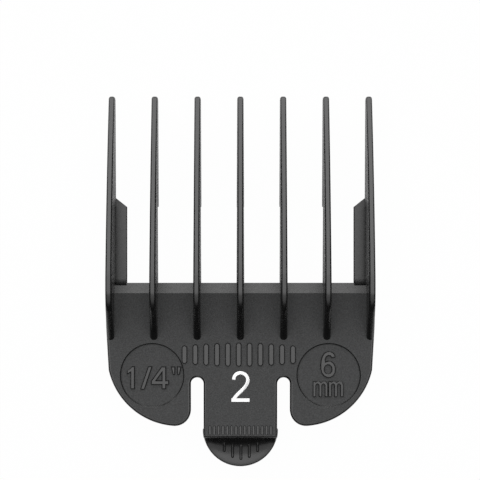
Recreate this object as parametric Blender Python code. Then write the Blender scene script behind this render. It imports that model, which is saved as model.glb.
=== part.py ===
"""Clipper guard comb for a 6 mm cut, lying on its blade side with the numbered face up.

X runs across the comb, +Y points to the tooth tips and Z is up.  The clipper blade would slide in
below the deck: the teeth and the deck rest on its top, the two rails reach under its sides, the
hooked tooth fronts stop its cutting edge and a catch on a springy tongue closes behind its heel.
The real comb is one moulding.  It is split here at its natural members, and neighbouring members
keep a narrow seam between them.
"""
import math

import bmesh
import bpy
from mathutils import Vector

MM = 0.001

# Seam between neighbouring members.
GAP = 0.3 * MM

# Overall sizes.  The blade is 46 mm wide and 40 mm from cutting edge to heel.
HALF_WIDTH = 24.1 * MM
TIP_Y = 33.34 * MM
STOP_Y = 13.4 * MM
BLADE_DEPTH = 40.0 * MM
BLADE_THICKNESS = 3.3 * MM

# Side members.
WALL_THICKNESS = 1.0 * MM
WALL_REAR_RUN = 3.06 * MM
RAIL_THICKNESS = 1.3 * MM
RAIL_REACH = 2.5 * MM
RAIL_REAR_Y = -2.0 * MM
RAIL_NOSE_Y = 15.4 * MM
RAIL_NOSE_CUT = 2.0 * MM
RAIL_RAMP_RUN = 2.3 * MM
RAIL_RAMP_DROP = 0.8 * MM
RAIL_EDGE_ROUND = 0.15 * MM

# Deck.
DECK_THICKNESS = 2.0 * MM
LIP_Y = -0.3 * MM
LIP_CHAMFER = 1.8 * MM
LIP_NOTCH = 0.46 * MM
SHOULDER_Y = -7.3 * MM
SIDE_TAPER = 0.5 * MM
SIDE_CORNER_Y = -15.9 * MM
LOBE_Y = -13.1 * MM
LOBE_RADIUS = 12.83 * MM
LOBE_CORNER_RADIUS = 2.9 * MM
DECK_EDGE_ROUND = 0.35 * MM
DISC_RADIUS = 5.6 * MM
DISC_DEPTH = 0.35 * MM
DISC_SIDE_INSET = 8.3 * MM
DISC_DROP = 3.7 * MM

# Teeth: seven fins, narrower at the skin side and at the tip.
TOOTH_COUNT = 7
OUTER_TOOTH_INSET = 0.88 * MM
CUT_LENGTH = 6.0 * MM
HEEL_Y = -10.5 * MM
HEEL_ANGLE = math.radians(45.0)
HEEL_ROUND = 5.1 * MM
CROWN_Y = 0.9 * MM
CROWN_ROUND = 8.0 * MM
RAMP_START_ANGLE = math.radians(8.0)
RAMP_RADIUS = 110.0 * MM
RAMP_STEPS = 14
TOOTH_WIDTH = 1.39 * MM
TOOTH_DRAFT = 0.03
TOOTH_TIP_TAPER = 0.0095
TOOTH_EDGE_ROUND = 0.4 * MM
HEEL_NARROWING = 0.85
TIP_TOP_ROUND = 0.9 * MM
TIP_LOW_ROUND = 0.75 * MM
HOOK_ROUND = 0.4 * MM

# Spring tongue with its heel catch and thumb tab.
SLOT_RADIUS = 1.155 * MM
SLOT_TOP_Y = -17.0 * MM
HINGE_OFFSET = 1.4 * MM
TONGUE_THICKNESS = 1.5 * MM
CATCH_THICKNESS = 1.4 * MM
CATCH_RIDGE = 0.6 * MM
CATCH_INSET = 0.25 * MM
TAB_OVERHANG = 0.15 * MM
TAB_BAND = 1.4 * MM
TAB_THICKNESS = 3.6 * MM
TAB_EDGE_ROUND = 0.4 * MM
SCOOP_DEPTH = 1.7 * MM
SCOOP_SET_BACK = 1.3 * MM
SCOOP_RADIUS = 7.2 * MM
SCOOP_STRETCH = 1.36

# Levels and lines that follow from the sizes above.
BLADE_Z = RAIL_THICKNESS + BLADE_THICKNESS
DECK_Z = BLADE_Z + DECK_THICKNESS
HOOK_Z = RAIL_THICKNESS + GAP
PITCH = (HALF_WIDTH - OUTER_TOOTH_INSET) / ((TOOTH_COUNT - 1) / 2)
TONGUE_HALF = PITCH - SLOT_RADIUS
HINGE_Y = SLOT_TOP_Y - HINGE_OFFSET
TONGUE_Z = DECK_Z - TONGUE_THICKNESS
HINGE_Z = DECK_Z - TONGUE_THICKNESS / 2
CATCH_Y = STOP_Y - BLADE_DEPTH
STEP_Y = CATCH_Y - TAB_BAND
TAB_RADIUS = TONGUE_HALF + TAB_OVERHANG
WALL_INNER_X = HALF_WIDTH - WALL_THICKNESS
RAIL_INNER_X = WALL_INNER_X - RAIL_REACH
DISC_X = HALF_WIDTH - DISC_SIDE_INSET
DISC_Y = LOBE_Y - DISC_DROP

NYLON = (0.028, 0.029, 0.030, 1.0)


def clear_scene():
    """Empty the file so that only the comb is in it."""
    for obj in list(bpy.data.objects):
        bpy.data.objects.remove(obj, do_unlink=True)
    for mesh in list(bpy.data.meshes):
        bpy.data.meshes.remove(mesh)


def nylon(name, roughness):
    """Black moulded nylon for one member."""
    mat = bpy.data.materials.new(name)
    mat.use_nodes = True
    shader = mat.node_tree.nodes["Principled BSDF"]
    shader.inputs["Base Color"].default_value = NYLON
    shader.inputs["Roughness"].default_value = roughness
    shader.inputs["Metallic"].default_value = 0.0
    mat.diffuse_color = NYLON
    return mat


def add_object(name, bm, roughness, smooth_angle=30.0):
    """Turn a bmesh into a named object; faces meeting gently are shaded as one."""
    bmesh.ops.recalc_face_normals(bm, faces=bm.faces)
    limit = math.radians(smooth_angle)
    for face in bm.faces:
        face.smooth = True
    for edge in bm.edges:
        edge.smooth = edge.is_manifold and edge.calc_face_angle(0.0) < limit
    mesh = bpy.data.meshes.new(name)
    bm.to_mesh(mesh)
    bm.free()
    obj = bpy.data.objects.new(name, mesh)
    bpy.context.scene.collection.objects.link(obj)
    mesh.materials.append(nylon(name + "_nylon", roughness))
    return obj


def add_cutter(name, bm):
    """Turn a bmesh into a hidden cutting body."""
    bmesh.ops.recalc_face_normals(bm, faces=bm.faces)
    mesh = bpy.data.meshes.new(name)
    bm.to_mesh(mesh)
    bm.free()
    obj = bpy.data.objects.new(name, mesh)
    bpy.context.scene.collection.objects.link(obj)
    obj.hide_render = True
    obj.display_type = "WIRE"
    return obj


def cut(obj, cutter):
    """Take a cutter out of an object."""
    mod = obj.modifiers.new("cut_" + cutter.name, "BOOLEAN")
    mod.operation = "DIFFERENCE"
    mod.solver = "EXACT"
    mod.object = cutter


def arc(cx, cy, radius, start, end, steps):
    """Points along an arc, both ends included, angles in degrees."""
    out = []
    for i in range(steps + 1):
        a = math.radians(start + (end - start) * i / steps)
        out.append((cx + radius * math.cos(a), cy + radius * math.sin(a)))
    return out


def rounded(corners):
    """Closed outline from (u, v, radius, steps) corners, each rounded by a tangent arc."""
    out = []
    count = len(corners)
    for i, (u, v, radius, steps) in enumerate(corners):
        here = Vector((u, v))
        if radius <= 0.0:
            out.append((u, v))
            continue
        back = Vector(corners[i - 1][:2]) - here
        ahead = Vector(corners[(i + 1) % count][:2]) - here
        half = back.angle(ahead) / 2
        reach = radius / math.tan(half)
        reach = min(reach, back.length * 0.98, ahead.length * 0.98)
        radius = reach * math.tan(half)
        centre = here + (back.normalized() + ahead.normalized()).normalized() * (radius / math.sin(half))
        first = here + back.normalized() * reach - centre
        last = here + ahead.normalized() * reach - centre
        turn = first.angle_signed(last)
        for k in range(steps + 1):
            a = -turn * k / steps
            x = first.x * math.cos(a) - first.y * math.sin(a)
            y = first.x * math.sin(a) + first.y * math.cos(a)
            out.append((centre.x + x, centre.y + y))
    return out


def plan_solid(outline, low, high):
    """Solid with a plan outline in X and Y, from one height to another."""
    bm = bmesh.new()
    lower = [bm.verts.new((x, y, low)) for x, y in outline]
    upper = [bm.verts.new((x, y, high)) for x, y in outline]
    join_rings(bm, lower, upper)
    return bm


def side_solid(profile, x_low, x_high):
    """Solid with a side profile in Y and Z, from one X to another."""
    bm = bmesh.new()
    left = [bm.verts.new((x_low, y, z)) for y, z in profile]
    right = [bm.verts.new((x_high, y, z)) for y, z in profile]
    join_rings(bm, left, right)
    return bm


def join_rings(bm, first, second):
    """Close two matching rings of vertices into one solid."""
    bm.faces.new(first)
    bm.faces.new(list(reversed(second)))
    count = len(first)
    for i in range(count):
        j = (i + 1) % count
        bm.faces.new((first[j], first[i], second[i], second[j]))
    bmesh.ops.recalc_face_normals(bm, faces=bm.faces)


def round_edges(bm, wanted, size, segments, held_back=True):
    """Round the edges for which wanted(edge) is true, held back at short edges or not."""
    edges = [e for e in bm.edges if wanted(e)]
    bmesh.ops.bevel(
        bm,
        geom=edges,
        offset=size,
        offset_type="OFFSET",
        affect="EDGES",
        segments=segments,
        profile=0.5,
        material=-1,
        clamp_overlap=held_back,
    )


def mirrored(half):
    """Whole outline from its right half, listed from the front to the back."""
    return half + [(-x, y) for x, y in reversed(half)]


def crown_height():
    """Crown level above the blade that leaves the cut length square to the skin edge at the stop."""
    run = STOP_Y - CROWN_Y
    slope = math.asin(math.sin(RAMP_START_ANGLE) + run / RAMP_RADIUS)
    fall = RAMP_RADIUS * (math.cos(RAMP_START_ANGLE) - math.cos(slope))
    return CUT_LENGTH / math.cos(slope) + fall


CROWN_Z = BLADE_Z + crown_height()


def ramp_height(y):
    """Height of the skin edge ahead of the crown."""
    slope = math.asin(math.sin(RAMP_START_ANGLE) + (y - CROWN_Y) / RAMP_RADIUS)
    return CROWN_Z - RAMP_RADIUS * (math.cos(RAMP_START_ANGLE) - math.cos(slope))


# ---------------------------------------------------------------- deck

def deck_half_outline():
    """Right half of the deck seen from above, front to back."""
    side_x = HALF_WIDTH - SIDE_TAPER
    lobe_x = side_x - math.sqrt(LOBE_RADIUS ** 2 - (LOBE_Y - SIDE_CORNER_Y) ** 2)
    start = math.degrees(math.atan2(SIDE_CORNER_Y - LOBE_Y, side_x - lobe_x))
    wall_x = PITCH + SLOT_RADIUS
    corner_x = wall_x + LOBE_CORNER_RADIUS
    inner = LOBE_RADIUS - LOBE_CORNER_RADIUS
    corner_y = LOBE_Y - math.sqrt(max(inner ** 2 - (corner_x - lobe_x) ** 2, 0.0))
    meet = math.degrees(math.atan2(corner_y - LOBE_Y, corner_x - lobe_x))
    slot_y = SLOT_TOP_Y - SLOT_RADIUS
    points = [(HALF_WIDTH, LIP_Y), (HALF_WIDTH, SHOULDER_Y)]
    points += arc(lobe_x, LOBE_Y, LOBE_RADIUS, start, meet, 24)
    points += arc(corner_x, corner_y, LOBE_CORNER_RADIUS, meet, -180.0, 8)[1:]
    points += arc(PITCH, slot_y, SLOT_RADIUS, 0.0, 180.0, 12)
    points += [(TONGUE_HALF, HINGE_Y + GAP / 2)]
    return points


def make_deck():
    """Flat body of the comb: chamfered front lip, two rear lobes, two slots, two round recesses."""
    bm = plan_solid(mirrored(deck_half_outline()), BLADE_Z, DECK_Z)

    def outer_top_edge(edge):
        a, b = (v.co for v in edge.verts)
        at_top = min(a.z, b.z) > DECK_Z - GAP / 10
        at_lip = min(a.y, b.y) > LIP_Y - GAP / 10
        at_hinge = max(a.y, b.y) < HINGE_Y + GAP and max(abs(a.x), abs(b.x)) < PITCH
        return at_top and not at_lip and not at_hinge

    round_edges(bm, outer_top_edge, DECK_EDGE_ROUND, 2)
    deck = add_object("deck", bm, 0.52)

    over = 2 * MM
    lip_z = DECK_Z - LIP_CHAMFER
    wedge = [
        (LIP_Y + over, lip_z - over),
        (LIP_Y + over, DECK_Z + over),
        (LIP_Y - LIP_CHAMFER - over, DECK_Z + over),
    ]
    cut(deck, add_cutter("lip_chamfer", side_solid(wedge, -HALF_WIDTH - over, HALF_WIDTH + over)))

    for side, label in ((-1, "left"), (1, "right")):
        disc = plan_solid(
            arc(side * DISC_X, DISC_Y, DISC_RADIUS, 0.0, 352.5, 47),
            DECK_Z - DISC_DEPTH,
            DECK_Z + over,
        )
        cut(deck, add_cutter(label + "_disc_recess", disc))
        near = side * (RAIL_INNER_X - GAP / 2)
        far = side * ((TOOTH_COUNT - 1) / 2 * PITCH - TOOTH_WIDTH / 2 - GAP / 2)
        notch = plan_solid(
            [
                (near, LIP_Y - LIP_NOTCH),
                (far, LIP_Y - LIP_NOTCH),
                (far, LIP_Y + over),
                (near, LIP_Y + over),
            ],
            BLADE_Z - over,
            DECK_Z + over,
        )
        cut(deck, add_cutter(label + "_lip_notch", notch))
    return deck


# ---------------------------------------------------------------- teeth

def tooth_profile():
    """Side view of a fin: skin edge above, then the tip, the hook, the blade rest and the saddle."""
    seat_z = DECK_Z + GAP
    saddle = GAP * math.tan(HEEL_ANGLE / 2)
    heel_toe_y = HEEL_Y + GAP / math.tan(HEEL_ANGLE)
    heel_top_y = HEEL_Y + (CROWN_Z - DECK_Z) / math.tan(HEEL_ANGLE)
    corners = [
        (heel_toe_y, seat_z, 0.0, 0),
        (heel_top_y, CROWN_Z, HEEL_ROUND, 8),
        (CROWN_Y, CROWN_Z, CROWN_ROUND, 2),
    ]
    for i in range(1, RAMP_STEPS):
        y = CROWN_Y + (TIP_Y - TIP_TOP_ROUND - CROWN_Y) * i / (RAMP_STEPS - 0.5)
        corners.append((y, ramp_height(y), 0.0, 0))
    corners += [
        (TIP_Y, ramp_height(TIP_Y), TIP_TOP_ROUND, 6),
        (TIP_Y, HOOK_Z, TIP_LOW_ROUND, 5),
        (STOP_Y, HOOK_Z, HOOK_ROUND, 3),
        (STOP_Y, BLADE_Z, 0.0, 0),
        (LIP_Y + GAP, BLADE_Z, 0.0, 0),
        (LIP_Y + GAP, DECK_Z - LIP_CHAMFER + saddle, 0.0, 0),
        (LIP_Y - LIP_CHAMFER + saddle, seat_z, 0.0, 0),
    ]
    return rounded(corners)


def tooth_half_width(y, z):
    """Half the fin's width: it narrows towards the skin and towards the tip."""
    width = TOOTH_WIDTH - TOOTH_DRAFT * (z - BLADE_Z) - TOOTH_TIP_TAPER * max(y, 0.0)
    return width / 2


def narrow_heel(bm):
    """Draw the rounded skin together behind the crown, so that the heel ends in a round nose."""
    reach = HEEL_ROUND * math.tan(HEEL_ANGLE / 2)
    heel_top_y = HEEL_Y + (CROWN_Z - DECK_Z) / math.tan(HEEL_ANGLE)
    crown_end = heel_top_y + reach
    heel_start = heel_top_y - reach * math.cos(HEEL_ANGLE)
    for vert in bm.verts:
        half = tooth_half_width(vert.co.y, vert.co.z)
        flat = half - TOOTH_EDGE_ROUND
        gone = min(max((crown_end - vert.co.y) / (crown_end - heel_start), 0.0), 1.0)
        inset = (half - abs(vert.co.x)) / TOOTH_EDGE_ROUND
        drawn = abs(vert.co.x) - HEEL_NARROWING * gone * flat * max(inset, 0.0)
        vert.co.x = math.copysign(drawn, vert.co.x)


def make_tooth(number, x):
    """One fin, its origin on the blade plane under the crown."""
    bm = bmesh.new()
    profile = tooth_profile()
    left = [bm.verts.new((-tooth_half_width(y, z), y, z)) for y, z in profile]
    right = [bm.verts.new((tooth_half_width(y, z), y, z)) for y, z in profile]
    join_rings(bm, left, right)

    def skin_edge(edge):
        a, b = (v.co for v in edge.verts)
        along = a.x * b.x > 0.0
        middle = (a + b) / 2
        above = middle.z > (DECK_Z + 2 * GAP if middle.y < STOP_Y + GAP else HOOK_Z + GAP)
        return along and above

    round_edges(bm, skin_edge, TOOTH_EDGE_ROUND, 3, held_back=False)
    narrow_heel(bm)
    bmesh.ops.translate(bm, vec=(0.0, 0.0, -BLADE_Z), verts=bm.verts)
    obj = add_object("tooth_%d" % number, bm, 0.42)
    obj.location = (x, 0.0, BLADE_Z)
    return obj


# ---------------------------------------------------------------- side walls and rails

def make_side_wall(side, label):
    """Upright strip that carries a rail below the deck and the outer fin."""
    top = BLADE_Z - GAP
    profile = [
        (RAIL_REAR_Y, HOOK_Z),
        (STOP_Y - GAP, HOOK_Z),
        (STOP_Y - GAP, top),
        (RAIL_REAR_Y - WALL_REAR_RUN, top),
    ]
    xs = sorted((side * WALL_INNER_X, side * HALF_WIDTH))
    bm = side_solid(profile, xs[0], xs[1])
    return add_object(label + "_side_wall", bm, 0.45)


def make_rail(side, label):
    """Flat flange that reaches under the blade, cut slanting at the nose and ramped at the back."""
    profile = [
        (RAIL_REAR_Y, 0.0),
        (RAIL_NOSE_Y, 0.0),
        (RAIL_NOSE_Y, RAIL_THICKNESS),
        (RAIL_REAR_Y + RAIL_RAMP_RUN, RAIL_THICKNESS),
        (RAIL_REAR_Y, RAIL_THICKNESS - RAIL_RAMP_DROP),
    ]
    xs = sorted((side * RAIL_INNER_X, side * HALF_WIDTH))
    bm = side_solid(profile, xs[0], xs[1])

    def inner_edge(edge):
        a, b = (v.co for v in edge.verts)
        return max(abs(a.x), abs(b.x)) < RAIL_INNER_X + GAP / 10 and min(a.z, b.z) > GAP / 10

    round_edges(bm, inner_edge, RAIL_EDGE_ROUND, 2)
    rail = add_object(label + "_rail", bm, 0.4)
    over = 1 * MM
    slope = RAIL_NOSE_CUT / RAIL_REACH
    near_x = RAIL_INNER_X - over
    nose = [
        (side * near_x, RAIL_NOSE_Y - RAIL_NOSE_CUT - slope * over),
        (side * (WALL_INNER_X + over), RAIL_NOSE_Y + slope * over),
        (side * near_x, RAIL_NOSE_Y + slope * over),
    ]
    cut(rail, add_cutter(label + "_rail_nose", plan_solid(nose, -over, RAIL_THICKNESS + over)))
    return rail


# ---------------------------------------------------------------- spring tongue

def make_tongue(joint):
    """Springy strip between the two slots."""
    outline = [
        (TONGUE_HALF, HINGE_Y - GAP / 2),
        (TONGUE_HALF, CATCH_Y + GAP / 2),
        (-TONGUE_HALF, CATCH_Y + GAP / 2),
        (-TONGUE_HALF, HINGE_Y - GAP / 2),
    ]
    return hang(add_object("release_tongue", plan_solid(outline, TONGUE_Z, DECK_Z), 0.52), joint)


def make_catch(joint):
    """Wall that closes behind the blade heel, with a ridge that snaps under it."""
    back = CATCH_Y - CATCH_THICKNESS
    ridge_z = RAIL_THICKNESS
    profile = [
        (CATCH_Y, BLADE_Z - GAP),
        (back, BLADE_Z - GAP),
        (back, 0.0),
        (CATCH_Y, 0.0),
        (CATCH_Y + CATCH_RIDGE, ridge_z - CATCH_RIDGE),
        (CATCH_Y, ridge_z),
    ]
    half = TONGUE_HALF - CATCH_INSET
    return hang(add_object("heel_catch", side_solid(profile, -half, half), 0.5), joint)


def make_tab(joint):
    """Half-round tab behind the catch with a dished thumb recess below a straight step."""
    front = CATCH_Y - GAP / 2
    start = math.degrees(math.asin(GAP / 2 / TAB_RADIUS))
    outline = arc(0.0, CATCH_Y, TAB_RADIUS, -start, start - 180.0, 40)
    bm = plan_solid(outline, DECK_Z - TAB_THICKNESS, DECK_Z)

    def rim(edge):
        a, b = (v.co for v in edge.verts)
        level = abs(a.z - b.z) < GAP / 10
        return level and abs(a.x - b.x) < TAB_RADIUS

    round_edges(bm, rim, TAB_EDGE_ROUND, 2)
    tab = add_object("thumb_tab", bm, 0.5)

    over = 2 * MM
    pocket_back = CATCH_Y - CATCH_THICKNESS - GAP
    pocket = [
        (pocket_back, DECK_Z - TAB_THICKNESS - over),
        (front + over, DECK_Z - TAB_THICKNESS - over),
        (front + over, BLADE_Z),
        (pocket_back, BLADE_Z),
    ]
    cut(tab, add_cutter("catch_pocket", side_solid(pocket, -TAB_RADIUS - over, TAB_RADIUS + over)))
    cut(tab, add_cutter("thumb_scoop", scoop_solid()))
    return hang(tab, joint)


def scoop_solid():
    """Dish of the thumb recess: a stretched ball, cut off flat along the step."""
    bm = bmesh.new()
    bmesh.ops.create_uvsphere(bm, u_segments=48, v_segments=32, radius=SCOOP_RADIUS)
    bmesh.ops.scale(bm, vec=(SCOOP_STRETCH, 1.0, 1.0), verts=bm.verts)
    centre = Vector((0.0, STEP_Y - SCOOP_SET_BACK, DECK_Z - SCOOP_DEPTH + SCOOP_RADIUS))
    bmesh.ops.translate(bm, vec=centre, verts=bm.verts)
    geom = bm.verts[:] + bm.edges[:] + bm.faces[:]
    found = bmesh.ops.bisect_plane(
        bm,
        geom=geom,
        plane_co=(0.0, STEP_Y, 0.0),
        plane_no=(0.0, 1.0, 0.0),
        clear_outer=True,
    )
    rim = [g for g in found["geom_cut"] if isinstance(g, bmesh.types.BMEdge)]
    bmesh.ops.edgenet_fill(bm, edges=rim)
    return bm


def hang(obj, joint):
    """Parent a member to the hinge line, keeping it where it is."""
    obj.parent = joint
    obj.matrix_parent_inverse = joint.matrix_world.inverted()
    return obj


def main():
    clear_scene()
    make_deck()
    middle = (TOOTH_COUNT + 1) / 2
    for number in range(1, TOOTH_COUNT + 1):
        make_tooth(number, (number - middle) * PITCH)
    for side, label in ((-1, "left"), (1, "right")):
        make_side_wall(side, label)
        make_rail(side, label)

    joint = bpy.data.objects.new("tongue_hinge", None)
    joint.location = (0.0, HINGE_Y, HINGE_Z)
    bpy.context.scene.collection.objects.link(joint)
    bpy.context.view_layer.update()
    make_tongue(joint)
    make_catch(joint)
    make_tab(joint)


main()
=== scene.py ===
import math

import bmesh
import bpy
from mathutils import Matrix, Vector


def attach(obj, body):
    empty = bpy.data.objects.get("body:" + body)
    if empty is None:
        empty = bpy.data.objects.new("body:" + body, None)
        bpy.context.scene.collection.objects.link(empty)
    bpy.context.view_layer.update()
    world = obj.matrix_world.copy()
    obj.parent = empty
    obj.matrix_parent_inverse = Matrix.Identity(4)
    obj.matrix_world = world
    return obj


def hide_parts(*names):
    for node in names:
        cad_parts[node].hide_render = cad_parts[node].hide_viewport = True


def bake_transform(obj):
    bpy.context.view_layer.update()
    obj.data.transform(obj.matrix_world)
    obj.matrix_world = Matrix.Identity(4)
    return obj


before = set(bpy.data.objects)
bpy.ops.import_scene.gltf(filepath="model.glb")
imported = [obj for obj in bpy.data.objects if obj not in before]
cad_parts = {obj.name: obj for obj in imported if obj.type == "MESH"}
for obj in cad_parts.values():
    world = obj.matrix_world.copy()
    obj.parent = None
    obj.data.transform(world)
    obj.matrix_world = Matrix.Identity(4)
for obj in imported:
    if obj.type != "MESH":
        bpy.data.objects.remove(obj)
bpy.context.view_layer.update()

MM = 0.001
scene = bpy.context.scene

# ---------------------------------------------------------------- camera
# A product camera hangs straight above the numbered face, about a third of a metre up, so that
# the tall teeth show a little of their flanks towards the edges of the picture.
VIEW_PLACE = (-0.07 * MM, 7.4 * MM, 372.6 * MM)

camera_data = bpy.data.cameras.new("camera")
camera_data.sensor_width = 36.0
camera_data.lens = 153.4
camera = bpy.data.objects.new("camera", camera_data)
camera.location = VIEW_PLACE
scene.collection.objects.link(camera)
scene.camera = camera
scene.view_settings.view_transform = "Standard"

# ---------------------------------------------------------------- studio
# A softbox hangs overhead, a tall one leans behind the tooth tips, and a weak one fills from the
# tab's side, all a little to the left.  The comb lies on a small white table.
LAMP_DISTANCE = 0.9
LAMP_WIDTH = 2.3
LAMP_SHIFT = -0.1
TABLE_SIZE = 0.12
TABLE_WHITE = (0.62, 0.62, 0.62, 1.0)
ROOM_GREY = (0.02, 0.02, 0.02, 1.0)


def softbox(name, lean, spread, radiance):
    """Rectangular lamp that faces the comb, leaning from overhead to +Y, with an even radiance."""
    data = bpy.data.lights.new(name, "AREA")
    data.shape = "RECTANGLE"
    data.size = LAMP_WIDTH
    data.size_y = 2 * LAMP_DISTANCE * math.tan(math.radians(spread))
    data.energy = radiance * math.pi * data.size * data.size_y
    lamp = bpy.data.objects.new(name, data)
    lamp.location = (
        LAMP_SHIFT, LAMP_DISTANCE * math.sin(math.radians(lean)), LAMP_DISTANCE * math.cos(math.radians(lean))
    )
    lamp.rotation_euler = (-math.radians(lean), 0.0, 0.0)
    lamp.visible_camera = False
    scene.collection.objects.link(lamp)


softbox("top_softbox", 0.5, 15.5, 1.75)
softbox("key_softbox", 55.5, 39.5, 2.3)
softbox("fill_softbox", -32.0, 17.0, 0.7)

world = bpy.data.worlds.new("studio")
world.use_nodes = True
w_nodes = world.node_tree.nodes
w_links = world.node_tree.links
room = w_nodes["Background"]
room.inputs["Color"].default_value = ROOM_GREY
white = w_nodes.new("ShaderNodeBackground")
white.inputs["Color"].default_value = (1.0, 1.0, 1.0, 1.0)
w_rays = w_nodes.new("ShaderNodeLightPath")
w_mix = w_nodes.new("ShaderNodeMixShader")
w_links.new(w_rays.outputs["Is Camera Ray"], w_mix.inputs[0])
w_links.new(room.outputs[0], w_mix.inputs[1])
w_links.new(white.outputs[0], w_mix.inputs[2])
w_links.new(w_mix.outputs[0], w_nodes["World Output"].inputs["Surface"])
scene.world = world

table_bm = bmesh.new()
bmesh.ops.create_grid(table_bm, x_segments=1, y_segments=1, size=TABLE_SIZE / 2)
table_mesh = bpy.data.meshes.new("table")
table_bm.to_mesh(table_mesh)
table_bm.free()
table = bpy.data.objects.new("table", table_mesh)
scene.collection.objects.link(table)

table_paint = bpy.data.materials.new("table_paint")
table_paint.use_nodes = True
nodes = table_paint.node_tree.nodes
links = table_paint.node_tree.links
nodes.clear()
output = nodes.new("ShaderNodeOutputMaterial")
lit = nodes.new("ShaderNodeBsdfDiffuse")
lit.inputs["Color"].default_value = TABLE_WHITE
glow = nodes.new("ShaderNodeEmission")
glow.inputs["Strength"].default_value = 1.0
rays = nodes.new("ShaderNodeLightPath")
share = nodes.new("ShaderNodeMath")
share.operation = "MULTIPLY"
share.inputs[1].default_value = 0.98
links.new(rays.outputs["Is Camera Ray"], share.inputs[0])
mixed = nodes.new("ShaderNodeMixShader")
links.new(share.outputs[0], mixed.inputs[0])
links.new(lit.outputs[0], mixed.inputs[1])
links.new(glow.outputs[0], mixed.inputs[2])
links.new(mixed.outputs[0], output.inputs["Surface"])
table_mesh.materials.append(table_paint)

# ---------------------------------------------------------------- black nylon
# The whole comb is one shot of black nylon.  The flat faces come off a spark-eroded tool and
# carry its fine grain; teeth, rails and chamfers come off polished steel.
NYLON_BLACK = (0.003, 0.00305, 0.0031, 1.0)
# The grained faces' colour follows the grain's tone and is darker in its pits: the darker pits are painted shade,
# standing in for the grain's own small shadows.
PIT_PAINTED_SHADE = (0.021, 0.0213, 0.0216, 1.0)
PIT_LIGHT = (0.052, 0.0526, 0.0532, 1.0)


def group_socket(group, name, way, kind, default=None):
    """One input or output of a shader node group."""
    socket = group.interface.new_socket(name=name, in_out=way, socket_type=kind)
    if default is not None:
        socket.default_value = default


grain_group = bpy.data.node_groups.new("tool_grain", "ShaderNodeTree")
group_socket(grain_group, "Cells per metre", "INPUT", "NodeSocketFloat", 6000.0)
group_socket(grain_group, "Height", "OUTPUT", "NodeSocketFloat")
group_socket(grain_group, "Pits", "OUTPUT", "NodeSocketFloat")
g_nodes = grain_group.nodes
g_links = grain_group.links
g_in = g_nodes.new("NodeGroupInput")
g_out = g_nodes.new("NodeGroupOutput")
g_place = g_nodes.new("ShaderNodeTexCoord")
g_fine = g_nodes.new("ShaderNodeTexNoise")
g_fine.inputs["Detail"].default_value = 3.0
g_fine.inputs["Roughness"].default_value = 0.6
g_cells = g_nodes.new("ShaderNodeTexVoronoi")
g_cells.feature = "SMOOTH_F1"
g_cells.inputs["Smoothness"].default_value = 0.6
g_blend = g_nodes.new("ShaderNodeMath")
g_blend.operation = "MULTIPLY_ADD"
g_blend.inputs[1].default_value = 0.7
g_range = g_nodes.new("ShaderNodeMapRange")
g_range.inputs["From Min"].default_value = 0.35
g_range.inputs["From Max"].default_value = 0.75
g_links.new(g_place.outputs["Object"], g_fine.inputs["Vector"])
g_links.new(g_place.outputs["Object"], g_cells.inputs["Vector"])
g_links.new(g_in.outputs["Cells per metre"], g_fine.inputs["Scale"])
g_links.new(g_in.outputs["Cells per metre"], g_cells.inputs["Scale"])
g_links.new(g_fine.outputs["Fac"], g_blend.inputs[0])
g_links.new(g_cells.outputs["Distance"], g_blend.inputs[2])
g_links.new(g_blend.outputs[0], g_out.inputs["Height"])
g_links.new(g_fine.outputs["Fac"], g_range.inputs["Value"])
g_links.new(g_range.outputs["Result"], g_out.inputs["Pits"])


def nylon(name, cells, depth, roughness, spread, mirror, dark, light):
    """Moulded nylon whose grain changes its gloss and surface, and its colour, which is painted darker in the pits as
    shade.
    """
    mat = bpy.data.materials.new(name)
    mat.use_nodes = True
    tree = mat.node_tree
    shader = tree.nodes["Principled BSDF"]
    shader.inputs["IOR"].default_value = 1.66
    shader.inputs["Specular IOR Level"].default_value = mirror
    grain = tree.nodes.new("ShaderNodeGroup")
    grain.node_tree = grain_group
    grain.inputs["Cells per metre"].default_value = cells
    tint = tree.nodes.new("ShaderNodeMix")
    tint.data_type = "RGBA"
    tint.inputs["A"].default_value = dark
    tint.inputs["B"].default_value = light
    gloss = tree.nodes.new("ShaderNodeMapRange")
    gloss.inputs["To Min"].default_value = roughness - spread
    gloss.inputs["To Max"].default_value = roughness + spread
    bump = tree.nodes.new("ShaderNodeBump")
    bump.inputs["Strength"].default_value = 1.0
    bump.inputs["Distance"].default_value = depth
    # Painted shade: the base colour darkens in the grain's pits.
    tree.links.new(grain.outputs["Pits"], tint.inputs["Factor"])
    tree.links.new(tint.outputs["Result"], shader.inputs["Base Color"])
    tree.links.new(grain.outputs["Pits"], gloss.inputs["Value"])
    tree.links.new(gloss.outputs["Result"], shader.inputs["Roughness"])
    tree.links.new(grain.outputs["Height"], bump.inputs["Height"])
    tree.links.new(bump.outputs["Normal"], shader.inputs["Normal"])
    return mat


grained_nylon = nylon("grained_nylon", 5200.0, 0.02 * MM, 0.66, 0.05, 0.2, PIT_PAINTED_SHADE, PIT_LIGHT)
polished_nylon = nylon("polished_nylon", 1800.0, 0.0015 * MM, 0.28, 0.03, 0.5, NYLON_BLACK, NYLON_BLACK)

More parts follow.
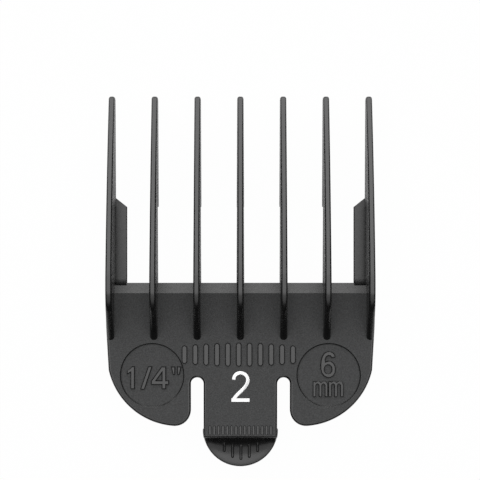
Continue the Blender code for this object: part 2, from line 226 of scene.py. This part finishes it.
# ---------------------------------------------------------------- body plate
# A flat plate with two rear lobes, two slots that free the tongue between them, and a wide
# chamfer along the front lip.  It is moulded in one with everything else on the comb.
HALF_WIDTH = 24.1 * MM
PLATE_LOW = 4.6 * MM
PLATE_TOP = 6.6 * MM
LIP_Y = -0.3 * MM
LIP_CHAMFER = 1.8 * MM
SHOULDER = (24.1 * MM, -7.3 * MM)
SIDE_CORNER = (23.6 * MM, -15.9 * MM)
LOBE_CENTRE = (11.07 * MM, -13.1 * MM)
LOBE_TURN = math.radians(-73.45)
INNER_TURN = math.radians(-93.95)
INNER_RADIUS = 2.87 * MM
SLOT_RADIUS = 1.155 * MM
SLOT_CENTRE = (7.74 * MM, -18.38 * MM)
STEP_Y = -28.0 * MM
JOINT_Y = -17.6 * MM
STRIP_ROOM = ((-7.3 * MM, -40.0 * MM, 2.0 * MM), (7.3 * MM, JOINT_Y, 9.0 * MM))
RIM_ROUND = 0.42 * MM
LOW_ROUND = 0.12 * MM
FLARE_Y = -18.26 * MM
FLARE_TOP = 1.68 * MM
FLARE_LOW = 1.08 * MM
FLARE_DEPTH = 1.04 * MM


def arc_on(bm, vert, centre, angle, steps):
    """Carry a vertex round a centre in plan, drawing the arc's edges; returns the last one."""
    spun = bmesh.ops.spin(
        bm, geom=[vert], cent=(centre[0], centre[1], vert.co.z), axis=(0, 0, 1), angle=angle, steps=steps
    )
    return [g for g in spun["geom_last"] if isinstance(g, bmesh.types.BMVert)][0]


def line_on(bm, vert, x, y):
    """Draw a straight edge in plan from a vertex; returns its other end."""
    end = bm.verts.new((x, y, vert.co.z))
    bm.edges.new((vert, end))
    return end


def raise_face(bm, height):
    """Fill the closed outline and pull it up into a solid."""
    bmesh.ops.edgenet_fill(bm, edges=bm.edges[:])
    grown = bmesh.ops.extrude_face_region(bm, geom=bm.faces[:])
    moved = [g for g in grown["geom"] if isinstance(g, bmesh.types.BMVert)]
    bmesh.ops.translate(bm, vec=(0.0, 0.0, height), verts=moved)
    bmesh.ops.recalc_face_normals(bm, faces=bm.faces)


def round_where(bm, wanted, size, segments, held_back=True):
    """Round the edges whose two end points pass a test, held back at short edges or not."""
    edges = [e for e in bm.edges if wanted(e.verts[0].co, e.verts[1].co)]
    bmesh.ops.bevel(
        bm, geom=edges, offset=size, offset_type="OFFSET", affect="EDGES", segments=segments,
        profile=0.5, material=-1, clamp_overlap=held_back,
    )


def as_object(name, bm, material=None):
    """Put a bmesh into the scene as an object at the origin."""
    bmesh.ops.recalc_face_normals(bm, faces=bm.faces)
    mesh = bpy.data.meshes.new(name)
    bm.to_mesh(mesh)
    bm.free()
    if material:
        mesh.materials.append(material)
    obj = bpy.data.objects.new(name, mesh)
    scene.collection.objects.link(obj)
    return obj


def combine(obj, operation, others):
    """Join other solids to an object, or take them out of it, and drop them."""
    bag = bpy.data.collections.new("bag")
    for other in others:
        bag.objects.link(other)
    step = obj.modifiers.new("step", "BOOLEAN")
    step.operation = operation
    step.solver = "EXACT"
    step.operand_type = "COLLECTION"
    step.collection = bag
    depsgraph = bpy.context.evaluated_depsgraph_get()
    made = bpy.data.meshes.new_from_object(obj.evaluated_get(depsgraph))
    obj.modifiers.clear()
    obj.data = made
    for other in others:
        bpy.data.objects.remove(other, do_unlink=True)
    bpy.data.collections.remove(bag)


def block(name, low, high):
    """Rectangular block between two corners."""
    bm = bmesh.new()
    bmesh.ops.create_cube(bm, size=1.0)
    low, high = Vector(low), Vector(high)
    bmesh.ops.scale(bm, vec=high - low, verts=bm.verts)
    bmesh.ops.translate(bm, vec=(low + high) / 2, verts=bm.verts)
    return as_object(name, bm)


plate_bm = bmesh.new()
start = plate_bm.verts.new((0.0, LIP_Y, PLATE_LOW))
end = line_on(plate_bm, start, HALF_WIDTH, LIP_Y)
end = line_on(plate_bm, end, *SHOULDER)
end = line_on(plate_bm, end, *SIDE_CORNER)
end = arc_on(plate_bm, end, LOBE_CENTRE, LOBE_TURN, 36)
toward = (Vector(LOBE_CENTRE) - end.co.xy).normalized() * INNER_RADIUS
end = arc_on(plate_bm, end, end.co.xy + toward, INNER_TURN, 14)
end = line_on(plate_bm, end, SLOT_CENTRE[0] + SLOT_RADIUS, SLOT_CENTRE[1])
end = arc_on(plate_bm, end, SLOT_CENTRE, math.pi, 20)
end = line_on(plate_bm, end, SLOT_CENTRE[0] - SLOT_RADIUS, STEP_Y)
end = line_on(plate_bm, end, 0.0, STEP_Y)
bmesh.ops.mirror(plate_bm, geom=plate_bm.verts[:] + plate_bm.edges[:], axis="X", merge_dist=0.001 * MM)
raise_face(plate_bm, PLATE_TOP - PLATE_LOW)

NEAR = 0.01 * MM
round_where(
    plate_bm,
    lambda a, b: abs(abs(a.x) - SHOULDER[0]) < NEAR and abs(a.y - SHOULDER[1]) < NEAR and abs(a.y - b.y) < NEAR
    and abs(a.x - b.x) < NEAR,
    1.8 * MM, 5,
)
round_where(
    plate_bm, lambda a, b: min(a.y, b.y) > LIP_Y - NEAR and min(a.z, b.z) > PLATE_TOP - NEAR, LIP_CHAMFER, 1
)
round_where(
    plate_bm,
    lambda a, b: min(a.z, b.z) > PLATE_TOP - NEAR and min(a.y, b.y) < LIP_Y - LIP_CHAMFER - NEAR,
    RIM_ROUND, 4, held_back=False,
)
round_where(plate_bm, lambda a, b: max(a.z, b.z) < PLATE_LOW + NEAR, LOW_ROUND, 2)
plate = as_object("comb_moulding", plate_bm, polished_nylon)

# The slots' closed ends open out a little towards the top, in a steep cone.
flares = []
for side in (-1, 1):
    bm = bmesh.new()
    bmesh.ops.create_cone(
        bm, cap_ends=True, segments=96, radius1=FLARE_LOW, radius2=FLARE_TOP, depth=FLARE_DEPTH
    )
    bmesh.ops.translate(bm, vec=(side * SLOT_CENTRE[0], FLARE_Y, PLATE_TOP - 0.07 * MM), verts=bm.verts)
    flares.append(as_object("slot_flare", bm))
combine(plate, "DIFFERENCE", flares)
strip_mesh = plate.data.copy()

# ---------------------------------------------------------------- round recesses and lip notches
# Two shallow round recesses carry the cut length.  Beside each rail the lip is set back, where
# the tool closes on the rail's rear end.
DISC_CENTRE = (15.8 * MM, -16.8 * MM)
DISC_RADIUS = 5.6 * MM
DISC_DEPTH = 0.35 * MM
DISC_CHAMFER = 0.16 * MM
NOTCH_X = (20.45 * MM, 22.6 * MM)
NOTCH_Y = -0.76 * MM

cutters = []
for side in (-1, 1):
    bm = bmesh.new()
    bmesh.ops.create_cone(
        bm, cap_ends=True, segments=96, radius1=DISC_RADIUS, radius2=DISC_RADIUS, depth=DISC_DEPTH - DISC_CHAMFER
    )
    roof = max(bm.faces, key=lambda f: f.calc_center_median().z)
    grown = bmesh.ops.extrude_face_region(bm, geom=[roof])
    ring = [g for g in grown["geom"] if isinstance(g, bmesh.types.BMVert)]
    bmesh.ops.translate(bm, vec=(0.0, 0.0, DISC_RADIUS / 2), verts=ring)
    bmesh.ops.scale(bm, vec=(1.5, 1.5, 1.0), verts=ring)
    bmesh.ops.delete(bm, geom=[roof] if roof.is_valid else [], context="FACES_ONLY")
    middle_z = PLATE_TOP - DISC_DEPTH + (DISC_DEPTH - DISC_CHAMFER) / 2
    bmesh.ops.translate(bm, vec=(side * DISC_CENTRE[0], DISC_CENTRE[1], middle_z), verts=bm.verts)
    cutters.append(as_object("disc_cutter", bm))
    xs = sorted((side * NOTCH_X[0], side * NOTCH_X[1]))
    cutters.append(block("notch_cutter", (xs[0], NOTCH_Y, 3.0 * MM), (xs[1], 1.0 * MM, 8.0 * MM)))
cutters.append(block("strip_room", *STRIP_ROOM))
combine(plate, "DIFFERENCE", cutters)

# ---------------------------------------------------------------- teeth
# Seven thin fins hold the hair at the cut length: a steep heel, a short crown over the lip and a
# long ramp to the tip, with a hook in front of the blade.  All are moulded onto the plate.
TOOTH_PITCH = 7.74 * MM
CROWN_Z = 13.3 * MM
CROWN_Y = 0.9 * MM
HEEL_TOP_Y = -3.8 * MM
HEEL_FOOT = (-11.3 * MM, 5.8 * MM)
RAMP_RADIUS = 110.0 * MM
RAMP_START = math.radians(8.0)
TIP_Y = 33.335 * MM
STOP_Y = 13.4 * MM
HOOK_Z = 1.6 * MM
TOOTH_WIDTH = 1.39 * MM
SKIN_ROUND = 0.42 * MM
HEEL_NARROWING = 0.9


def tooth_half_width(y, z):
    """Half a fin's width, less towards the skin and towards the tip."""
    return (TOOTH_WIDTH - 0.03 * (z - PLATE_LOW) - 0.0095 * max(y, 0.0)) / 2


def side_profile(points):
    """Closed outline in the plane X = 0 from its corners in Y and Z."""
    bm = bmesh.new()
    loop = [bm.verts.new((0.0, y, z)) for y, z in points]
    for i in range(len(loop)):
        bm.edges.new((loop[i - 1], loop[i]))
    return bm


def widen(bm, x_low, x_high):
    """Fill a side outline and pull it out between two X places."""
    bmesh.ops.edgenet_fill(bm, edges=bm.edges[:])
    bmesh.ops.translate(bm, vec=(x_low, 0.0, 0.0), verts=bm.verts)
    grown = bmesh.ops.extrude_face_region(bm, geom=bm.faces[:])
    moved = [g for g in grown["geom"] if isinstance(g, bmesh.types.BMVert)]
    bmesh.ops.translate(bm, vec=(x_high - x_low, 0.0, 0.0), verts=moved)
    bmesh.ops.recalc_face_normals(bm, faces=bm.faces)


def round_corner(bm, y, z, radius, turn, segments):
    """Round the crosswise edge at one corner of a side profile."""
    round_where(
        bm,
        lambda a, b: abs(a.y - y) < NEAR and abs(b.y - y) < NEAR and abs(a.z - z) < NEAR and abs(b.z - z) < NEAR,
        radius * math.tan(math.radians(turn) / 2), segments,
    )


ramp_end = math.asin(math.sin(RAMP_START) + (TIP_Y - CROWN_Y) / RAMP_RADIUS)
tip_z = CROWN_Z - RAMP_RADIUS * (math.cos(RAMP_START) - math.cos(ramp_end))
tooth_bm = bmesh.new()
crown = tooth_bm.verts.new((0.0, CROWN_Y, CROWN_Z))
centre = (0.0, CROWN_Y - RAMP_RADIUS * math.sin(RAMP_START), CROWN_Z - RAMP_RADIUS * math.cos(RAMP_START))
spun = bmesh.ops.spin(
    tooth_bm, geom=[crown], cent=centre, axis=(1, 0, 0), angle=-(ramp_end - RAMP_START), steps=24
)
tip = [g for g in spun["geom_last"] if isinstance(g, bmesh.types.BMVert)][0]
rest = [
    (TIP_Y, HOOK_Z), (STOP_Y, HOOK_Z), (STOP_Y, PLATE_LOW), (-0.25 * MM, PLATE_LOW), (-0.9 * MM, 5.0 * MM),
    HEEL_FOOT, (HEEL_TOP_Y, CROWN_Z),
]
last = tip
for y, z in rest:
    nxt = tooth_bm.verts.new((0.0, y, z))
    tooth_bm.edges.new((last, nxt))
    last = nxt
tooth_bm.edges.new((last, crown))
widen(tooth_bm, -1.0 * MM, 1.0 * MM)
round_corner(tooth_bm, HEEL_TOP_Y, CROWN_Z, 5.1 * MM, 45.0, 12)
round_corner(tooth_bm, CROWN_Y, CROWN_Z, 8.0 * MM, 8.0, 3)
round_corner(tooth_bm, TIP_Y, tip_z, 0.9 * MM, 64.3, 8)
round_corner(tooth_bm, TIP_Y, HOOK_Z, 0.75 * MM, 90.0, 6)
round_corner(tooth_bm, STOP_Y, HOOK_Z, 0.4 * MM, 90.0, 4)
round_corner(tooth_bm, STOP_Y, PLATE_LOW, 0.3 * MM, 90.0, 3)
for vert in tooth_bm.verts:
    vert.co.x = math.copysign(tooth_half_width(vert.co.y, vert.co.z), vert.co.x)
round_where(
    tooth_bm,
    lambda a, b: a.x * b.x > 0.0 and all(
        p.z > (5.5 * MM if p.y < STOP_Y + NEAR else HOOK_Z + 0.1 * MM) for p in (a, b)
    ),
    SKIN_ROUND, 5, held_back=False,
)
heel_start = HEEL_TOP_Y + 2.11 * MM  # where the heel's arc begins to fall
heel_run = 3.6 * MM
for vert in tooth_bm.verts:
    half = tooth_half_width(vert.co.y, vert.co.z)
    flat = half - SKIN_ROUND
    gone = min(max((heel_start - vert.co.y) / heel_run, 0.0), 1.0)
    inset = max((half - abs(vert.co.x)) / SKIN_ROUND, 0.0)
    vert.co.x = math.copysign(abs(vert.co.x) - HEEL_NARROWING * gone * flat * min(inset, 1.0), vert.co.x)

parts = []
for number in range(-3, 4):
    bm = tooth_bm.copy()
    bmesh.ops.translate(bm, vec=(number * TOOTH_PITCH, 0.0, 0.0), verts=bm.verts)
    parts.append(as_object("tooth", bm))
tooth_bm.free()

# ---------------------------------------------------------------- side walls and rails
# Below each outer tooth a wall drops past the blade's side and carries a flat rail that reaches
# under the blade, with a slanting nose and a ramp at its rear end.
WALL_INNER = 23.1 * MM
WALL_OUTER = 24.07 * MM
RAIL_INNER = 20.6 * MM
RAIL_TOP = 1.3 * MM
RAIL_REAR = -2.0 * MM
RAMP_TOP_Y = 0.3 * MM
RAMP_DROP = 0.2 * MM
RAIL_NOSE = 15.4 * MM

for side in (-1, 1):
    bm = side_profile([
        (RAIL_REAR, 0.35 * MM), (15.1 * MM, 0.35 * MM), (15.1 * MM, 1.9 * MM), (13.7 * MM, 1.9 * MM),
        (13.7 * MM, 5.2 * MM), (-5.4 * MM, 5.2 * MM), (-5.06 * MM, PLATE_LOW), (RAIL_REAR, 1.6 * MM),
    ])
    xs = sorted((side * WALL_INNER, side * WALL_OUTER))
    widen(bm, xs[0], xs[1])
    parts.append(as_object("side_wall", bm))

    bm = bmesh.new()
    end = first = bm.verts.new((side * WALL_OUTER, RAIL_REAR, 0.0))
    corners = (
        (WALL_OUTER, RAIL_NOSE), (WALL_INNER, RAIL_NOSE), (RAIL_INNER, RAIL_NOSE - 2.0 * MM), (RAIL_INNER, RAIL_REAR)
    )
    for x, y in corners:
        end = line_on(bm, end, side * x, y)
    bm.edges.new((end, first))
    raise_face(bm, RAIL_TOP)
    bmesh.ops.bisect_plane(
        bm, geom=bm.verts[:] + bm.edges[:] + bm.faces[:], plane_co=(0.0, RAMP_TOP_Y, 0.0), plane_no=(0, 1, 0)
    )
    for vert in bm.verts:
        if vert.co.y < RAIL_REAR + NEAR and vert.co.z > NEAR:
            vert.co.z -= RAMP_DROP
    round_where(
        bm, lambda a, b: a.z > NEAR and b.z > NEAR and max(abs(a.x), abs(b.x)) < RAIL_INNER + NEAR, 0.15 * MM, 3
    )
    round_where(
        bm,
        lambda a, b: min(a.z, b.z) > RAIL_TOP - NEAR and min(a.y, b.y) > RAIL_NOSE - 2.4 * MM
        and abs(abs(a.x) - abs(b.x)) > NEAR,
        0.12 * MM, 2,
    )
    parts.append(as_object("rail", bm))

# ---------------------------------------------------------------- raised marks
# The cut length stands in the recesses in plain raised figures with steep sides and flat tops,
# cut into the tool, and a row of upright grip ribs lies between them.  All are black nylon.
FLOOR_Z = PLATE_TOP - DISC_DEPTH
STEEPNESS = 2.4  # how much steeper than a quarter round the figures' sides are


def stroke(points, radius, rise, curve=False, square=False):
    """A round-shouldered bar along a pen path given in millimetres, half sunk in a face at Z 0 and
    cut level at a rise above it, or left round with no rise."""
    data = bpy.data.curves.new("stroke", "CURVE")
    data.dimensions = "3D"
    data.bevel_depth = radius
    data.bevel_resolution = 3
    data.use_fill_caps = True
    path = [Vector(point).to_3d() * MM for point in points]
    if curve:
        path = smooth_path(path)
    full = [(p, 1.0) for p in path]
    if not square:
        head = (path[0] - path[1]).normalized()
        tail = (path[-1] - path[-2]).normalized()
        cap = [(math.sin(math.radians(a)), math.cos(math.radians(a))) for a in (85, 60, 35, 15)]
        full = [(path[0] + head * radius * s, c) for s, c in cap] + full
        full += [(path[-1] + tail * radius * s, c) for s, c in reversed(cap)]
    spline = data.splines.new("POLY")
    spline.points.add(len(full) - 1)
    for i, (place, width) in enumerate(full):
        spline.points[i].co = place.to_4d()
        spline.points[i].radius = width
    obj = bpy.data.objects.new("stroke", data)
    scene.collection.objects.link(obj)
    depsgraph = bpy.context.evaluated_depsgraph_get()
    mesh = bpy.data.meshes.new_from_object(obj.evaluated_get(depsgraph))
    bpy.data.objects.remove(obj, do_unlink=True)
    bm = bmesh.new()
    bm.from_mesh(mesh)
    bmesh.ops.remove_doubles(bm, verts=bm.verts, dist=0.001 * MM)
    if rise:
        found = bmesh.ops.bisect_plane(
            bm, geom=bm.verts[:] + bm.edges[:] + bm.faces[:], plane_co=(0, 0, rise), plane_no=(0, 0, 1),
            clear_outer=True,
        )
        bmesh.ops.edgenet_fill(bm, edges=[g for g in found["geom_cut"] if isinstance(g, bmesh.types.BMEdge)])
    bmesh.ops.recalc_face_normals(bm, faces=bm.faces)
    bm.to_mesh(mesh)
    bm.free()
    return mesh


def smooth_path(path, steps=6):
    """Even curve through the points of a pen path."""
    out = []
    for i in range(len(path) - 1):
        a = path[max(i - 1, 0)]
        b, c = path[i], path[i + 1]
        d = path[min(i + 2, len(path) - 1)]
        for k in range(steps):
            t = k / steps
            out.append(0.5 * (2 * b + (c - a) * t + (2 * a - 5 * b + 4 * c - d) * t ** 2
                              + (3 * b - a - 3 * c + d) * t ** 3))
    return out + [path[-1]]


def place_stroke(mesh, x, y, z):
    """Set a stroke on its face."""
    mesh.transform(Matrix.Translation((x, y, z)))
    obj = bpy.data.objects.new("mark", mesh)
    scene.collection.objects.link(obj)
    return obj


def raised_outline(loops, rise, slope):
    """A raised shape with a flat top and steep sides, from closed outlines in millimetres."""
    bm = bmesh.new()
    for loop in loops:
        row = [bm.verts.new((x * MM, y * MM, -0.5 * rise)) for x, y in loop]
        for i in range(len(row)):
            bm.edges.new((row[i - 1], row[i]))
    bmesh.ops.triangle_fill(bm, use_beauty=True, use_dissolve=True, edges=bm.edges[:])
    grown = bmesh.ops.extrude_face_region(bm, geom=bm.faces[:])
    moved = [g for g in grown["geom"] if isinstance(g, bmesh.types.BMVert)]
    bmesh.ops.translate(bm, vec=(0.0, 0.0, 1.5 * rise), verts=moved)
    bmesh.ops.recalc_face_normals(bm, faces=bm.faces)
    rim = [e for e in bm.edges if min(v.co.z for v in e.verts) > 0.9 * rise and e.calc_face_angle(0.0) > 1.0]
    bmesh.ops.bevel(
        bm, geom=rim, offset=slope, offset_type="OFFSET", affect="EDGES", segments=2, profile=0.5, material=-1,
        clamp_overlap=False,
    )
    for vert in bm.verts:
        vert.co.z = rise + (vert.co.z - rise) * STEEPNESS
    mesh = bpy.data.meshes.new("mark")
    bm.to_mesh(mesh)
    bm.free()
    return mesh


INCH_RISE = 0.38 * MM
METRE_RISE = 0.37 * MM
FIGURE_SLOPE = 0.17 * MM
SIX_SLOPE = 0.16 * MM
METRE_SLOPE = 0.12 * MM
INCH_OUTLINES = [
    [[(-3.90, -2.50), (-3.08, -2.50), (-3.08, 1.60), (-3.66, 1.60), (-3.96, 1.20), (-4.54, 0.84), (-4.54, 0.08),
      (-3.90, 0.44)]],
    [[(-2.16, -2.60), (-1.34, -2.60), (0.08, 1.60), (-0.74, 1.60)]],
    [
        [(1.70, -2.50), (2.52, -2.50), (2.52, -1.74), (3.04, -1.74), (3.04, -0.92), (2.52, -0.92), (2.52, 1.56),
         (1.66, 1.56), (-0.22, -1.02), (-0.22, -1.74), (1.70, -1.74)],
        [(1.70, -0.92), (1.70, 0.32), (0.80, -0.92)],
    ],
    [[(3.34, 1.56), (4.16, 1.56), (4.12, 0.04), (3.70, 0.04)]],
    [[(4.44, 1.56), (5.26, 1.56), (4.92, 0.04), (4.50, 0.04)]],
]
SIX_OUTLINE = [
    [(1.24, 3.16), (1.12, 3.71), (0.75, 4.11), (0.24, 4.30), (-0.30, 4.25), (-0.83, 3.95), (-1.19, 3.40),
     (-1.39, 2.73), (-1.48, 1.94), (-1.48, 1.09), (-1.28, 0.36), (-0.85, -0.18), (-0.24, -0.49),
     (0.30, -0.46), (0.83, -0.18), (1.19, 0.36), (1.29, 1.03), (1.19, 1.70), (0.87, 2.25), (0.39, 2.55),
     (-0.12, 2.58), (-0.51, 2.43), (-0.58, 2.82), (-0.40, 3.22), (-0.06, 3.47), (0.27, 3.43),
     (0.49, 3.09)],
    [(-0.09, 0.27), (0.27, 0.41), (0.49, 0.75), (0.53, 1.09), (0.44, 1.48), (0.15, 1.77), (-0.19, 1.82),
     (-0.53, 1.63), (-0.73, 1.22), (-0.73, 0.80), (-0.51, 0.44)],
]
M_OUTLINE = [
    (0.00, 0.00), (0.56, 0.00), (0.56, 2.02), (0.66, 2.22), (0.82, 2.30), (0.98, 2.22), (1.07, 2.02), (1.07, 0.00),
    (1.63, 0.00), (1.63, 2.02), (1.72, 2.22), (1.88, 2.30), (2.04, 2.22), (2.14, 2.02), (2.14, 0.00), (2.70, 0.00),
    (2.70, 2.15), (2.60, 2.50), (2.36, 2.76), (2.02, 2.84), (1.70, 2.76), (1.45, 2.60), (1.22, 2.78), (0.94, 2.84),
    (0.70, 2.78), (0.50, 2.68), (0.46, 2.80), (0.00, 2.80),
]
marks = [(-1, raised_outline(loops, INCH_RISE, FIGURE_SLOPE)) for loops in INCH_OUTLINES]
marks.append((1, raised_outline(SIX_OUTLINE, METRE_RISE, SIX_SLOPE)))
for left in (-2.83, -0.04):
    loop = [(x + left, y - 3.88) for x, y in M_OUTLINE]
    marks.append((1, raised_outline([loop], METRE_RISE, METRE_SLOPE)))
raised = [place_stroke(mesh, side * DISC_CENTRE[0], DISC_CENTRE[1], FLOOR_Z) for side, mesh in marks]

RIB_COUNT = 11
RIB_ROW_Y = -13.1 * MM
for i in range(RIB_COUNT):
    along = i / (RIB_COUNT - 1) * 2 - 1
    x = -0.3 + along * 9.7
    reach = 1.65 - 0.5 * along * along
    raised.append(place_stroke(stroke([(x, reach), (x, -reach)], 0.5 * MM, 0.34 * MM), 0.0, RIB_ROW_Y, PLATE_TOP))

combine(plate, "UNION", parts)
for mark in raised:
    combine(plate, "UNION", [mark])

# Grain goes on the flat upward faces at the plate's level and on the recesses' floors.
plate.data.materials.clear()
plate.data.materials.append(polished_nylon)
plate.data.materials.append(grained_nylon)


def finish_surface(obj, grained):
    """Clear up after the joins, shade smooth but for real corners, and give each face its finish."""
    bm = bmesh.new()
    bm.from_mesh(obj.data)
    bmesh.ops.remove_doubles(bm, verts=bm.verts, dist=0.002 * MM)
    bmesh.ops.dissolve_degenerate(bm, edges=bm.edges, dist=0.001 * MM)
    bmesh.ops.holes_fill(bm, edges=[e for e in bm.edges if e.is_boundary], sides=0)
    for edge in bm.edges:
        a, b = edge.verts[0].co, edge.verts[1].co
        on_ramp = max(abs(a.y - RAMP_TOP_Y), abs(b.y - RAMP_TOP_Y)) < NEAR and max(a.z, b.z) < RAIL_TOP + NEAR
        edge.smooth = edge.is_manifold and not on_ramp and edge.calc_face_angle(0.0) < math.radians(32.0)
    for face in bm.faces:
        face.smooth = True
        face.material_index = 1 if grained(face.calc_center_median(), face.normal) else 0
    bm.to_mesh(obj.data)
    bm.free()
    obj.data.update()
    even = obj.modifiers.new("even_shading", "WEIGHTED_NORMAL")
    even.keep_sharp = True


finish_surface(
    plate,
    lambda place, normal: normal.z > 0.999 and place.y < -1.9 * MM
    and min(abs(place.z - PLATE_TOP), abs(place.z - FLOOR_Z)) < NEAR,
)
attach(plate, "comb")
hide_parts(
    "deck", *["tooth_%d" % n for n in range(1, 8)],
    "left_side_wall", "right_side_wall", "left_rail", "right_rail",
)

# ---------------------------------------------------------------- release strip
# The tongue between the slots is thinner than the plate, so that it bends.  It ends in a wall
# behind the blade's heel and in a half-round thumb tab, hollowed from the step to its rim.
CATCH_Y = -26.6 * MM
TAB_RADIUS = 6.735 * MM
TAB_LOW = 3.0 * MM
TAB_TOP = 6.2 * MM
HOLLOW_LOW = 4.6 * MM
HOLLOW_RUN = 3.55 * MM
HOLLOW_SLOPE = 0.70
TAB_RIM = 0.3 * MM

bm = bmesh.new()
bm.from_mesh(strip_mesh)
strip = as_object("release_strip", bm)
combine(strip, "INTERSECT", [block("strip_room", *STRIP_ROOM)])
bm = bmesh.new()
bm.from_mesh(strip.data)
for i in range(1, 12):
    bmesh.ops.bisect_plane(
        bm, geom=bm.verts[:] + bm.edges[:] + bm.faces[:], plane_co=(0.0, JOINT_Y - i * 0.32 * MM, 0.0),
        plane_no=(0, 1, 0),
    )
for vert in bm.verts:
    if vert.co.z < 5.3 * MM:
        t = min(max((-17.9 * MM - vert.co.y) / (1.6 * MM), 0.0), 1.0)
        vert.co.z += 0.5 * MM * t * t * (3 - 2 * t)
bm.to_mesh(strip.data)
bm.free()


def hollow_floor(x, y):
    """Height of the thumb hollow: an arc falling from the step, shorter at the sides, then flat up
    to the tab's rounded rim."""
    run = HOLLOW_RUN * math.sqrt(max(1.0 - (x / (6.9 * MM)) ** 2, 0.05))
    arc = run / HOLLOW_SLOPE
    left = min(max(run - (STEP_Y - y), 0.0), run)
    over = math.hypot(x, y - CATCH_Y) - (TAB_RADIUS - TAB_RIM)
    over = min(max(over, 0.0), TAB_RIM)
    return HOLLOW_LOW + arc - math.sqrt(arc * arc - left * left) - TAB_RIM + math.sqrt(TAB_RIM ** 2 - over * over)


def hollow_space():
    """Everything above the thumb hollow, as a solid to take out of the tab."""
    bm = bmesh.new()
    reach = [
        0.02, 0.7, 1.4, 1.9, 2.4, 2.9, 3.4, 3.9, 4.4, 4.9, 5.4, 5.9, 6.435, 6.53, 6.61, 6.67, 6.715, 6.75, 7.6
    ]
    chain = [bm.verts.new((r * MM, CATCH_Y, 0.0)) for r in reach]
    links = [bm.edges.new(pair) for pair in zip(chain, chain[1:])]
    bmesh.ops.spin(bm, geom=chain + links, cent=(0.0, CATCH_Y, 0.0), axis=(0, 0, 1), angle=-math.pi, steps=95)
    bmesh.ops.remove_doubles(bm, verts=bm.verts, dist=0.001 * MM)
    bmesh.ops.bisect_plane(
        bm, geom=bm.verts[:] + bm.edges[:] + bm.faces[:], plane_co=(0.0, STEP_Y - 0.012 * MM, 0.0),
        plane_no=(0, 1, 0), clear_outer=True,
    )
    for vert in bm.verts:
        vert.co.z = hollow_floor(vert.co.x, vert.co.y)
    grown = bmesh.ops.extrude_face_region(bm, geom=bm.faces[:])
    for vert in [g for g in grown["geom"] if isinstance(g, bmesh.types.BMVert)]:
        vert.co.z = 9.0 * MM
    return as_object("hollow_space", bm)


bm = bmesh.new()
bmesh.ops.create_cone(
    bm, cap_ends=True, segments=192, radius1=TAB_RADIUS, radius2=TAB_RADIUS, depth=TAB_TOP - TAB_LOW
)
bmesh.ops.translate(bm, vec=(0.0, CATCH_Y, (TAB_TOP + TAB_LOW) / 2), verts=bm.verts)
round_where(bm, lambda a, b: max(a.z, b.z) < TAB_LOW + NEAR, 0.3 * MM, 3, held_back=False)
found = bmesh.ops.bisect_plane(
    bm, geom=bm.verts[:] + bm.edges[:] + bm.faces[:], plane_co=(0.0, CATCH_Y - 0.05 * MM, 0.0), plane_no=(0, 1, 0),
    clear_outer=True,
)
bmesh.ops.edgenet_fill(bm, edges=[g for g in found["geom_cut"] if isinstance(g, bmesh.types.BMEdge)])
tab = as_object("thumb_tab_body", bm)
combine(tab, "DIFFERENCE", [hollow_space()])

# Upright grip ribs stand in the hollow and, finer, across the end of the tongue.
ribs = []
HOLLOW_RIB = 0.28 * MM
for i in range(-2, 3):
    x = 0.1 + i * 1.5
    path = []
    for k in range(9):
        y = -29.3 + 0.1 * i * i - (2.6 - 0.25 * i * i) * k / 8
        path.append((x, y, hollow_floor(x * MM, y * MM) / MM - (0.4 if k == 0 else 0.04)))
    ribs.append(place_stroke(stroke(path, HOLLOW_RIB, None), 0.0, 0.0, 0.0))
for i in range(-7, 8):
    bar = stroke([(i * 0.78, 0.62), (i * 0.78, -0.62)], 0.24 * MM, 0.17 * MM)
    ribs.append(place_stroke(bar, 0.0, -26.65 * MM, PLATE_TOP))

bm = side_profile([
    (CATCH_Y, 5.6 * MM), (CATCH_Y - 1.3 * MM, 5.6 * MM), (CATCH_Y - 1.3 * MM, 0.0), (CATCH_Y, 0.0),
    (CATCH_Y + 0.6 * MM, 0.7 * MM), (CATCH_Y, 1.3 * MM),
])
widen(bm, -6.335 * MM, 6.335 * MM)
catch = as_object("heel_wall", bm)
combine(strip, "UNION", [tab, catch])
for rib in ribs:
    combine(strip, "UNION", [rib])
strip.data.materials.clear()
strip.data.materials.append(polished_nylon)
strip.data.materials.append(grained_nylon)
finish_surface(
    strip, lambda place, normal: normal.z > 0.999 and abs(place.z - PLATE_TOP) < NEAR and place.y > STEP_Y
)
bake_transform(strip)
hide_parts("release_tongue", "heel_catch", "thumb_tab")

# ---------------------------------------------------------------- size numeral
# The guard's size number is printed in white ink on the tongue, thin and level with it.
INK_WHITE = (0.9, 0.9, 0.9, 1.0)
TWO = [
    (-1.22, -17.62), (-1.08, -17.05), (-0.68, -16.58), (0.07, -16.38), (0.95, -16.75), (1.34, -17.62), (1.08, -18.52),
    (0.40, -19.35), (-0.40, -20.12), (-1.00, -20.80), (-1.28, -21.24),
]
NUMERAL_BASE = ((-1.6 * MM, -21.54 * MM, PLATE_TOP - 0.2 * MM), (1.63 * MM, -20.95 * MM, PLATE_TOP + 0.014 * MM))
ink = bpy.data.materials.new("white_ink")
ink.use_nodes = True
shader = ink.node_tree.nodes["Principled BSDF"]
shader.inputs["Base Color"].default_value = INK_WHITE
shader.inputs["Roughness"].default_value = 0.5
numeral = place_stroke(stroke(TWO, 0.297 * MM, 0.002 * MM, True, True), 0.0, 0.0, PLATE_TOP + 0.01 * MM)
numeral.name = "size_numeral"
combine(numeral, "UNION", [block("base", *NUMERAL_BASE)])
numeral.data.materials.clear()
numeral.data.materials.append(ink)
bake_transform(numeral)
